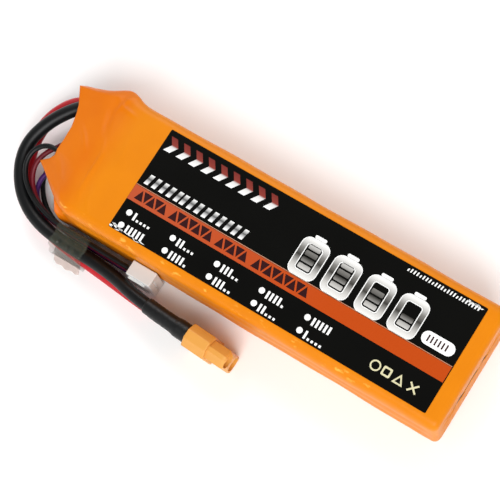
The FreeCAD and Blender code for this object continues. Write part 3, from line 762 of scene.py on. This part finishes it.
white = []
for row, y in enumerate(DOT_ROWS):
    for i in range(5):
        x = DOT_START + i * DOT_STEP
        white.append(disc(x, y, 1.0))
        white += level_bars(x + 1.9, y - 0.35, i + 1 if row == 0 else BAR_COUNT - i)
white += [rectangle(45.6 + i * 1.05, 46.05 + i * 1.05, 16.2, 17.5 if i % 4 else 17.1, 0.2)
          for i in range(24)]
print_piece("white_marks", white, white_ink)

cream_ink = Finish("cream_ink", roughness=0.4, specular=0.3)
cream_ink.set(base_color=cream_ink.tint(cream_ink.noise(0.002), paint(196, 190, 150), paint(214, 208, 172)))
outer_triangle = triangle(59.0, 3.6, -15.2, -11.8)
signs = [(disc(52.6, -13.5, 1.75), disc(52.6, -13.5, 1.25)),
         (rounded(55.0, 58.0, -15.0, -12.0, 0.5), rounded(55.6, 57.4, -14.4, -12.6, 0.3)),
         (outer_triangle, outer_triangle * 0.55 + outer_triangle.mean(axis=0) * 0.45),
         cross(65.6, -13.7, 2.0, 0.28)]
print_piece("plain_signs", signs, cream_ink)

pill = rounded(59.6, 70.6, -0.5, 3.8, 2.1, 10)
print_piece("label_pill", [pill], white_ink)
pill_marks = [rectangle(61.5 + i * 1.25, 62.0 + i * 1.25, 0.55, 2.75) for i in range(6)]
print_piece("pill_marks", pill_marks, dark_ink, 1)

# %% Painted glare: white slivers where light catches the crinkled film at the label's corners and near edge
rng = np.random.default_rng(4)
GLARE_PLACES = ((-39.6, -17.4, 2.6, 0.7, 13), (69.0, 17.6, 3.0, 0.5, 12), (-33.0, -17.9, 4.0, 0.3, 6))
painted_glare_slivers = []
for x, y, reach_x, reach_y, count in GLARE_PLACES:
    for _ in range(count):
        middle = (x + rng.uniform(-reach_x, reach_x), y + rng.uniform(-reach_y, reach_y))
        length, width, turn = rng.uniform(0.35, 1.1), rng.uniform(0.08, 0.22), rng.uniform(-0.7, 0.3)
        sliver = np.array([(-length, 0.0), (0.0, -width), (length, 0.0), (0.2 * length, width)])
        spin = np.array([(math.cos(turn), math.sin(turn)), (-math.sin(turn), math.cos(turn))])
        painted_glare_slivers.append(np.clip(sliver @ spin + middle, label_low[:2], label_high[:2]))
# These white ink slivers are painted highlights: glare on the crinkled film, not marks in the label.
print_piece("label_painted_glare", painted_glare_slivers, white_ink, 2)

# %% [markdown]
# Each lead is soldered into a cup behind the plug, and black heat shrink covers the joint and the
# last stretch of the lead.  It is a tube whose centre follows the lead, a little wider over the cup
# and with a soft step where the cup's end shows through.

# %% Tubes along a line


def tube_grid(line, radii, sides=24):
    """Rings along a line: centre + radius * (cos * side + sin * upward), both square to the line."""
    run = np.gradient(line, axis=0)
    run /= np.linalg.norm(run, axis=1, keepdims=True)
    side = np.cross(run, (0.0, 0.0, 1.0))
    side /= np.linalg.norm(side, axis=1, keepdims=True)
    upward = np.cross(side, run)
    angle = np.arange(sides) * 2.0 * math.pi / sides
    ring = (side[:, None, :] * np.cos(angle)[:, None] + upward[:, None, :] * np.sin(angle)[:, None])
    return line[:, None, :] + ring * np.asarray(radii)[:, None, None]


def last_stretch(line, length, past, count):
    """Even points over the last stretch of a line, and straight on past its end."""
    way = line[-1] - line[-2]
    line = np.vstack([line, line[-1] + way / np.linalg.norm(way) * past])
    reach = np.concatenate([[0.0], np.cumsum(np.linalg.norm(np.diff(line, axis=0), axis=1))])
    places = np.linspace(reach[-1] - past - length, reach[-1], count)
    return np.stack([np.interp(places, reach, line[:, i]) for i in range(3)], -1)


def give_wall(piece, thickness):
    """Turns a single surface into a thin wall, inward from it."""
    wall = piece.modifiers.new("wall", "SOLIDIFY")
    wall.thickness = thickness * MM
    wall.offset = -1.0


# %% Heat shrink
SHRINK_LENGTH = 13.5
CUP_LENGTH = 3.0
SHRINK_ROWS = 60
heat_shrink = Finish("black_heat_shrink", roughness=0.42, specular=0.3)
heat_shrink.set(base_color=heat_shrink.tint(heat_shrink.noise(0.003, 3.0), paint(8, 9, 9), paint(20, 21, 22)))
heat_shrink.set(normal=heat_shrink.bump(heat_shrink.noise(0.0012, 3.0), 0.00006, 0.6))
for name in ("black", "red"):
    line = last_stretch(route_line(CORDS[name + "_lead"][0]) / MM, SHRINK_LENGTH, CUP_LENGTH, SHRINK_ROWS)
    share = np.linspace(0.0, 1.0, SHRINK_ROWS)
    over_cup = np.clip((share - 0.66) / 0.1, 0.0, 1.0)
    over_cup = over_cup ** 2 * (3.0 - 2.0 * over_cup)
    waves = 0.015 * np.sin(share * 41.0) + 0.01 * np.sin(share * 67.0)
    radii = 2.5 + 0.12 * share + 0.33 * over_cup + waves - 0.08 * np.clip(1.0 - share / 0.04, 0.0, 1.0)
    piece = mesh_piece("lead_shrink_" + name, tube_grid(line, radii), grid_faces(SHRINK_ROWS, 24, True),
                       "heat_shrink", heat_shrink)
    give_wall(piece, 0.2)
    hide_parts("heat_shrink_" + name)

# %% [markdown]
# A band of clear tape holds the leads and the balance wires to the pack's near side.  Its outline is
# a soft bag round the bundle: corner points joined by a smooth closed line, carried along the pack.
# Clear tape looks grey and lightens what lies under it, so the wall is half see-through.

# %% Clear tape round the leads
TAPE_OUTLINE = [(-23.2, 10.1), (-23.2, 0.25), (-31.6, 0.25), (-32.5, 1.4),
                (-32.5, 3.6), (-31.0, 8.0), (-29.4, 9.4), (-25.2, 10.1)]
tape_low, tape_high = (np.array(corner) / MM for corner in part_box("wire_tape"))


def smooth_loop(corners, count, softness):
    """Even points round a closed outline, each then the bell-weighted mean of its neighbours."""
    corners = np.vstack([corners, corners[:1]])
    reach = np.concatenate([[0.0], np.cumsum(np.linalg.norm(np.diff(corners, axis=0), axis=1))])
    places = np.arange(count) * reach[-1] / count
    loop = np.stack([np.interp(places, reach, corners[:, i]) for i in range(2)], -1)
    offset = np.minimum(np.arange(count), count - np.arange(count)) * reach[-1] / count
    bell = np.exp(-(offset / softness) ** 2)
    spectrum = np.fft.fft(bell / bell.sum())[:, None] * np.fft.fft(loop, axis=0)
    return np.real(np.fft.ifft(spectrum, axis=0))


TAPE_ROWS = 40
TAPE_COLUMNS = 120
loop = smooth_loop(np.array(TAPE_OUTLINE), TAPE_COLUMNS, 0.7)
station = np.linspace(tape_low[0], tape_high[0], TAPE_ROWS)
tape_x = station[:, None] + 0.25 * np.sin(np.arange(TAPE_COLUMNS) * 0.31)[None, :]
crumple = 0.09 * np.sin(tape_x * 1.9 + loop[:, 1] * 2.1) + 0.05 * np.sin(tape_x * 3.3 - loop[:, 1] * 1.3)
outward = loop - loop.mean(axis=0)
outward /= np.linalg.norm(outward, axis=1, keepdims=True)
free = np.clip((-24.0 - loop[:, 0]) / 2.0, 0.0, 1.0) * np.clip((loop[:, 1] - 1.0) / 2.0, 0.0, 1.0)
tape_points = np.stack([tape_x, loop[:, 0] + outward[:, 0] * crumple * free,
                        loop[:, 1] + outward[:, 1] * crumple * free], -1)
tape_finish = Finish("clear_tape", roughness=0.2, specular=0.5)
tape_finish.set(base_color=paint(92, 96, 82), alpha=0.08 + tape_finish.noise(0.004, 3.0) * 0.2)
tape_finish.set(normal=tape_finish.bump(tape_finish.noise(0.004, 2.0), 0.0002, 0.4))
tape_piece = mesh_piece("wire_tape_band", tape_points, grid_faces(TAPE_ROWS, TAPE_COLUMNS, True)[:, ::-1],
                        "clear_tape", tape_finish)
give_wall(tape_piece, 0.12)
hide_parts("wire_tape")

# %% The tape's loose end
TAIL_ROWS = 14
TAIL_COLUMNS = 24
along = np.linspace(-59.8, -49.8, TAIL_COLUMNS)[None, :]
out = np.linspace(0.0, 1.0, TAIL_ROWS)[:, None]
tail_reach = 1.7 + 0.5 * np.sin((along + 59.8) / 10.0 * math.pi) + 0.25 * np.sin(along * 1.7)
tail_points = np.stack([along + 0.5 * out, -32.2 - tail_reach * out,
                        1.5 - 1.25 * out ** 0.7 + 0.0 * along], -1)
tail_finish = Finish("tape_end", roughness=0.3, specular=0.5)
tail_finish.set(base_color=paint(224, 206, 198), alpha=0.35 + tail_finish.noise(0.003, 2.0) * 0.25)
tail_piece = mesh_piece("tape_loose_end", tail_points, grid_faces(TAIL_ROWS, TAIL_COLUMNS, False)[:, ::-1],
                        "clear_tape", tail_finish)
give_wall(tail_piece, 0.1)

# %% [markdown]
# The other pieces keep their solid shapes and get finishes.  Each finish has what its material has
# in life: grain in foam, weave in glass fibre sheet, creases in pouch foil, drawn lines in metal.

# %% Plug finishes
amber_nylon = Finish("amber_nylon", roughness=0.4, specular=0.4)
amber_nylon.set(base_color=amber_nylon.tint(amber_nylon.noise(0.006, 3.0), paint(206, 142, 58),
                                            paint(216, 154, 72)))
amber_nylon.set(normal=amber_nylon.bump(amber_nylon.noise(0.0005, 2.0), 0.00003, 0.5))
dress(amber_nylon, "main_plug_housing")

white_nylon = Finish("white_nylon", roughness=0.42, specular=0.4)
white_nylon.set(base_color=white_nylon.tint(white_nylon.noise(0.005, 2.0), paint(206, 206, 204),
                                            paint(216, 216, 214)))
white_nylon.set(normal=white_nylon.bump(white_nylon.noise(0.0005, 2.0), 0.00002, 0.4))
dress(white_nylon, "balance_plug_housing")


def metal(name, dark, light, roughness, grain, stretch=(1.0, 1.0, 1.0)):
    """Bare metal: two close tones in soft patches, and fine drawn lines that blur its shine."""
    finish = Finish(name, metallic=1.0)
    lines = finish.noise(grain, 3.0, stretch=stretch)
    finish.set(base_color=finish.tint(finish.noise(grain * 4.0), dark, light))
    finish.set(roughness=roughness + lines * 0.15)
    finish.set(normal=finish.bump(lines, 0.00003, 0.4))
    return finish


dress(metal("gold_plate", paint(212, 160, 66), paint(236, 190, 96), 0.16, 0.001), "main_socket_black",
      "main_socket_red")
dress(metal("tinned_brass", paint(176, 170, 152), paint(206, 202, 188), 0.24, 0.0008), "balance_terminals")
dress(metal("tinned_copper_strands", paint(176, 132, 100), paint(208, 186, 166), 0.35, 0.0004, (0.1, 1.0, 1.0)),
      "black_lead_core", "red_lead_core")

# %% Finishes inside the film
foil = metal("pouch_foil", paint(176, 178, 182), paint(206, 207, 210), 0.32, 0.0016)
foil.set(normal=foil.bump(foil.noise(0.006, 4.0), 0.0003, 0.7))
dress(foil, "cell_1", "cell_2", "cell_3")
aluminium = metal("tab_aluminium", paint(190, 192, 196), paint(214, 216, 219), 0.3, 0.0006, (0.1, 1.0, 1.0))
nickel = metal("tab_nickel", paint(170, 166, 156), paint(196, 192, 182), 0.26, 0.0006, (0.1, 1.0, 1.0))
for number in (1, 2, 3):
    dress(aluminium, "cell_%d_tab_positive" % number)
    dress(nickel, "cell_%d_tab_negative" % number)
dress(metal("copper", paint(178, 98, 62), paint(206, 128, 86), 0.3, 0.0008), "pad_positive", "pad_link_lower",
      "pad_link_upper", "pad_negative")
dress(metal("solder", paint(170, 172, 174), paint(204, 206, 208), 0.18, 0.0012), "tab_solder",
      "black_lead_solder", "red_lead_solder", "wire_solder")

foam = Finish("grey_foam", roughness=0.95, specular=0.15)
foam.set(base_color=foam.tint(foam.noise(0.0006, 2.0), paint(52, 53, 56), paint(86, 87, 90)))
foam.set(normal=foam.bump(foam.noise(0.0006, 2.0), 0.0003, 0.8))
dress(foam, "foam_pad_1", "foam_pad_2", "end_pad")

sheet = Finish("glass_fibre_sheet", roughness=0.45, specular=0.4)
weave = sheet.node("ShaderNodeTexWave", {"wave_type": "BANDS", "bands_direction": "X"},
                   {"Vector": sheet.place(), "Scale": 260.0}, 1) * sheet.node(
    "ShaderNodeTexWave", {"wave_type": "BANDS", "bands_direction": "Y"},
    {"Vector": sheet.place(), "Scale": 260.0}, 1)
sheet.set(base_color=sheet.tint(weave, paint(196, 196, 138), paint(216, 214, 160)))
sheet.set(normal=sheet.bump(weave, 0.00005, 0.5))
dress(sheet, "bottom_plate", "top_plate")

kapton = Finish("polyimide_tape", roughness=0.22, specular=0.5)
kapton.set(base_color=kapton.tint(kapton.noise(0.004), paint(176, 98, 18), paint(204, 124, 30)))
dress(kapton, "stack_tape")

paper = Finish("insulation_paper", roughness=0.85, specular=0.2)
paper.set(base_color=paper.tint(paper.noise(0.0015, 4.0), paint(96, 128, 118), paint(122, 150, 138)))
paper.set(normal=paper.bump(paper.noise(0.0004, 3.0), 0.00006, 0.6))
dress(paper, "end_insulator")

board = Finish("circuit_board", roughness=0.3, specular=0.5)
board.set(base_color=board.tint(board.noise(0.01, 3.0), paint(14, 84, 44), paint(22, 104, 56)))
board.set(normal=board.bump(board.noise(0.0008, 2.0), 0.00003, 0.4))
dress(board, "circuit_board")

# %% [markdown]
# The length of each free cord is worked out again along its line, and nothing more is done with
# it.  All six are short.  The black lead shows from the collar to its plug, the red one in part, and
# the thin wires mostly run hidden in the bundle.

for name, (points, diameter, finish, slot_name) in CORDS.items():
    line_length(route_line(points))

# %% [markdown]
# The table is a pale matt sheet that goes out past every view.  Light is a large soft window high on
# the near side, past the plug, with a weaker one on the far side.  The leads and plugs then shade the
# gap between them and the pack.  The sky is bright near the horizon and dim overhead: a flat glossy
# label mirrors what is overhead, so it stays black.

# %% Table
FLOOR_HALF = 1.5
floor_mesh = bpy.data.meshes.new("table")
floor_level = cad_low.z - 0.0001
floor_mesh.from_pydata([(x * FLOOR_HALF, y * FLOOR_HALF, floor_level)
                        for x, y in ((-1, -1), (1, -1), (1, 1), (-1, 1))], [], [(0, 1, 2, 3)])
table = bpy.data.objects.new("table", floor_mesh)
table_finish = Finish("table_white", roughness=0.8, specular=0.2, base_color=paint(250, 249, 248))
floor_mesh.materials.append(table_finish.material)
scene.collection.objects.link(table)

# %% Light


def soft_light(name, place, target, width, depth, power, colour=(1.0, 1.0, 1.0)):
    """A rectangular lamp that faces its target."""
    lamp = bpy.data.lights.new(name, "AREA")
    lamp.shape = "RECTANGLE"
    lamp.size = width
    lamp.size_y = depth
    lamp.energy = power
    lamp.color = colour
    holder = bpy.data.objects.new(name, lamp)
    aim = (Vector(target) - Vector(place)).to_track_quat("-Z", "Y")
    holder.matrix_world = Matrix.Translation(place) @ aim.to_matrix().to_4x4()
    scene.collection.objects.link(holder)


soft_light("near_window", (0.40, -0.60, 0.85), (0.0, 0.0, 0.0), 0.8, 0.7, 13.0)
soft_light("far_window", (-0.45, 0.70, 0.75), (0.0, 0.0, 0.0), 0.7, 0.6, 6.5)

world = bpy.data.worlds.new("studio")
world.use_nodes = True
scene.world = world
sky = world.node_tree
direction = sky.nodes.new("ShaderNodeTexCoord")
parts = sky.nodes.new("ShaderNodeSeparateXYZ")
glow = sky.nodes.new("ShaderNodeMapRange")
glow.inputs["From Min"].default_value = 0.0
glow.inputs["From Max"].default_value = 0.8
glow.inputs["To Min"].default_value = 1.1
glow.inputs["To Max"].default_value = 0.15
sky.links.new(direction.outputs["Generated"], parts.inputs[0])
sky.links.new(parts.outputs["Z"], glow.inputs["Value"])
sky.links.new(glow.outputs["Result"], sky.nodes["Background"].inputs["Strength"])
sky.nodes["Background"].inputs["Color"].default_value = (1.0, 1.0, 1.0, 1.0)
scene.view_settings.view_transform = "Standard"
